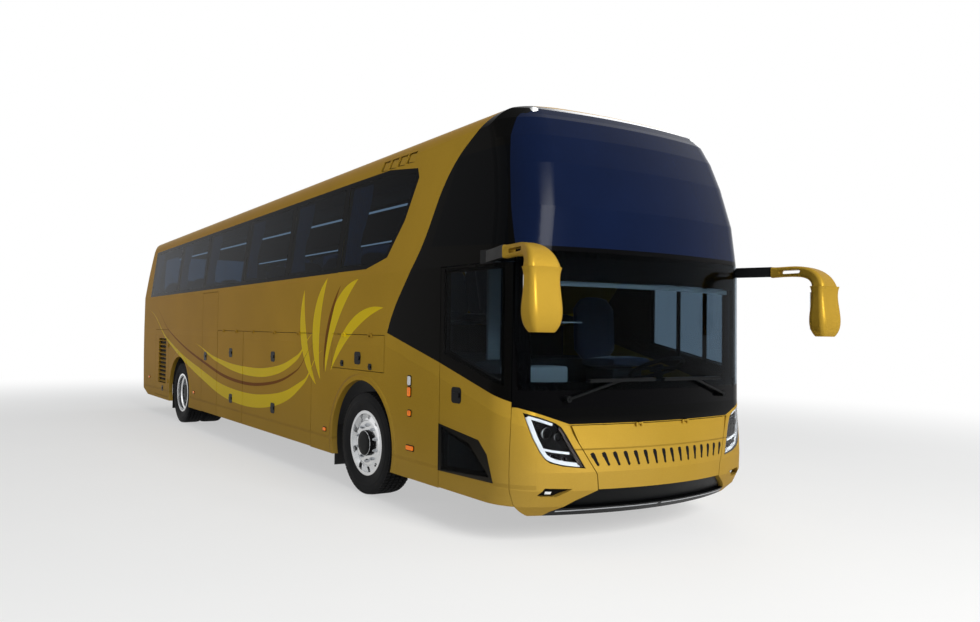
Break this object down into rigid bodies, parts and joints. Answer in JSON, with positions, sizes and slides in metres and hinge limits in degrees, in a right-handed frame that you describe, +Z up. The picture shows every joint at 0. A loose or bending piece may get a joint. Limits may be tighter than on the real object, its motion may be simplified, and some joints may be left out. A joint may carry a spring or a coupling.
{
  "type": "coach bus",
  "caption": "Two-axle touring coach with a domed front, hollow cabin and luggage bays, opening doors, flaps and lids, steered front and twin rear wheels.",
  "frame": {"origin": "on the ground under the middle of the whole length, mirrors included", "axes": "+X forward, +Y to the coach's left, +Z up"},
  "size_m": [11.6231, 3.268, 3.3375],
  "materials": {
    "gold_paint": "metallic gold body paint under clear coat",
    "black_gloss": "gloss black paint",
    "tinted_glass": "dark tinted safety glass",
    "navy_glass": "deep blue tinted glass",
    "tyre_rubber": "black tyre rubber",
    "polished_alloy": "polished forged aluminium",
    "cabin_plastic": "grey cabin trim",
    "seat_fabric": "woven seat cloth",
    "chassis_steel": "black painted steel",
    "cast_iron": "cast and forged parts",
    "lamp_lens": "clear lamp lenses",
    "black_plastic": "black moulded plastic"
  },
  "bodies": {
    "coach": {"side_wall_right": "gold_paint", "side_wall_left": "gold_paint", "roof": "gold_paint", "deck": "cabin_plastic", "stairs": "cabin_plastic", "luggage_bay": "cabin_plastic", "wheel_boxes": "chassis_steel", "chassis_frame": "chassis_steel", "engine": "cast_iron", "front_frame": "black_gloss", "front_mask": "gold_paint", "front_bumper": "gold_paint", "front_grille": "black_plastic", "windscreen": "tinted_glass", "dome_glass": "navy_glass", "side_windows": "tinted_glass", "rear_wall": "gold_paint", "rear_window": "tinted_glass", "lamps": "lamp_lens", "wipers": "black_plastic", "mirrors": "gold_paint", "mirror_brackets": "black_plastic", "front_axle": "cast_iron", "rear_axle": "cast_iron", "seats": "seat_fabric", "dashboard": "cabin_plastic", "steering_wheel": "cabin_plastic", "luggage_racks": "cabin_plastic"},
    "knuckle_right": {"knuckle_right": "cast_iron"},
    "knuckle_left": {"knuckle_left": "cast_iron"},
    "wheel_front_right": {"tyre_front_right": "tyre_rubber", "rim_front_right": "polished_alloy"},
    "wheel_front_left": {"tyre_front_left": "tyre_rubber", "rim_front_left": "polished_alloy"},
    "wheel_rear_right": {"tyre_rear_right": "tyre_rubber", "rim_rear_right": "polished_alloy"},
    "wheel_rear_left": {"tyre_rear_left": "tyre_rubber", "rim_rear_left": "polished_alloy"},
    "door_front_arm": {"door_front_arm": "chassis_steel"},
    "door_front": {"door_front": "gold_paint", "door_front_glass": "tinted_glass"},
    "door_mid_arm": {"door_mid_arm": "chassis_steel"},
    "door_mid": {"door_mid": "gold_paint"},
    "flap_right_rear": {"flap_right_rear": "gold_paint"},
    "flap_right_front": {"flap_right_front": "gold_paint"},
    "flap_left_rear": {"flap_left_rear": "gold_paint"},
    "flap_left_front": {"flap_left_front": "gold_paint"},
    "arch_hatch": {"arch_hatch": "gold_paint"},
    "engine_lid": {"engine_lid": "gold_paint"},
    "front_lid": {"front_lid": "gold_paint"},
    "service_door_right": {"service_door_right": "gold_paint"},
    "service_door_left": {"service_door_left": "gold_paint"}
  },
  "joints": [
    {"name": "steer_right", "type": "hinge", "parent": "coach", "child": "knuckle_right", "pos_m": [2.9825, -0.93, 0.478], "axis": [0, 0, 1], "range_deg": [-40, 40]},
    {"name": "steer_left", "type": "hinge", "parent": "coach", "child": "knuckle_left", "pos_m": [2.9825, 0.93, 0.478], "axis": [0, 0, 1], "range_deg": [-40, 40]},
    {"name": "spin_front_right", "type": "hinge", "parent": "knuckle_right", "child": "wheel_front_right", "pos_m": [2.9825, -1.094, 0.478], "axis": [0, 1, 0], "continuous": true},
    {"name": "spin_front_left", "type": "hinge", "parent": "knuckle_left", "child": "wheel_front_left", "pos_m": [2.9825, 1.094, 0.478], "axis": [0, 1, 0], "continuous": true},
    {"name": "spin_rear_right", "type": "hinge", "parent": "coach", "child": "wheel_rear_right", "pos_m": [-3.1175, -0.9345, 0.478], "axis": [0, 1, 0], "continuous": true},
    {"name": "spin_rear_left", "type": "hinge", "parent": "coach", "child": "wheel_rear_left", "pos_m": [-3.1175, 0.9345, 0.478], "axis": [0, 1, 0], "continuous": true},
    {"name": "door_front_swing", "type": "hinge", "parent": "coach", "child": "door_front_arm", "pos_m": [4.9675, -1.11, 1], "axis": [0, 0, 1], "range_deg": [0, 85]},
    {"name": "door_front_turn", "type": "hinge", "parent": "door_front_arm", "child": "door_front", "pos_m": [4.4175, -1.11, 1], "axis": [0, 0, 1], "range_deg": [-85, 0]},
    {"name": "door_mid_swing", "type": "hinge", "parent": "coach", "child": "door_mid_arm", "pos_m": [-1.8575, -1.11, 1], "axis": [0, 0, -1], "range_deg": [0, 85]},
    {"name": "door_mid_turn", "type": "hinge", "parent": "door_mid_arm", "child": "door_mid", "pos_m": [-1.3575, -1.11, 1], "axis": [0, 0, -1], "range_deg": [-85, 0]},
    {"name": "flap_right_rear_lift", "type": "hinge", "parent": "coach", "child": "flap_right_rear", "pos_m": [-0.7125, -1.281, 1.495], "axis": [-1, 0, 0], "range_deg": [0, 90]},
    {"name": "flap_right_front_lift", "type": "hinge", "parent": "coach", "child": "flap_right_front", "pos_m": [0.8475, -1.281, 1.495], "axis": [-1, 0, 0], "range_deg": [0, 90]},
    {"name": "flap_left_rear_lift", "type": "hinge", "parent": "coach", "child": "flap_left_rear", "pos_m": [-0.7125, 1.281, 1.495], "axis": [1, 0, 0], "range_deg": [0, 90]},
    {"name": "flap_left_front_lift", "type": "hinge", "parent": "coach", "child": "flap_left_front", "pos_m": [0.8475, 1.281, 1.495], "axis": [1, 0, 0], "range_deg": [0, 90]},
    {"name": "arch_hatch_lift", "type": "hinge", "parent": "coach", "child": "arch_hatch", "pos_m": [2.8875, -1.281, 1.495], "axis": [-1, 0, 0], "range_deg": [0, 90]},
    {"name": "engine_lid_lift", "type": "hinge", "parent": "coach", "child": "engine_lid", "pos_m": [-5.8023, 0, 1.72], "axis": [0, 1, 0], "range_deg": [0, 80]},
    {"name": "front_lid_lift", "type": "hinge", "parent": "coach", "child": "front_lid", "pos_m": [5.4029, 0, 0.89], "axis": [0, -1, 0], "range_deg": [0, 75]},
    {"name": "service_door_right_swing", "type": "hinge", "parent": "coach", "child": "service_door_right", "pos_m": [-3.7775, -1.281, 0.9], "axis": [0, 0, 1], "range_deg": [0, 95]},
    {"name": "service_door_left_swing", "type": "hinge", "parent": "coach", "child": "service_door_left", "pos_m": [-3.7775, 1.281, 0.9], "axis": [0, 0, -1], "range_deg": [0, 95]}
  ],
  "couplings": [
    {"joint": "steer_left", "follows": "steer_right", "ratio": 1},
    {"joint": "door_front_turn", "follows": "door_front_swing", "ratio": -1},
    {"joint": "door_mid_turn", "follows": "door_mid_swing", "ratio": -1}
  ]
}
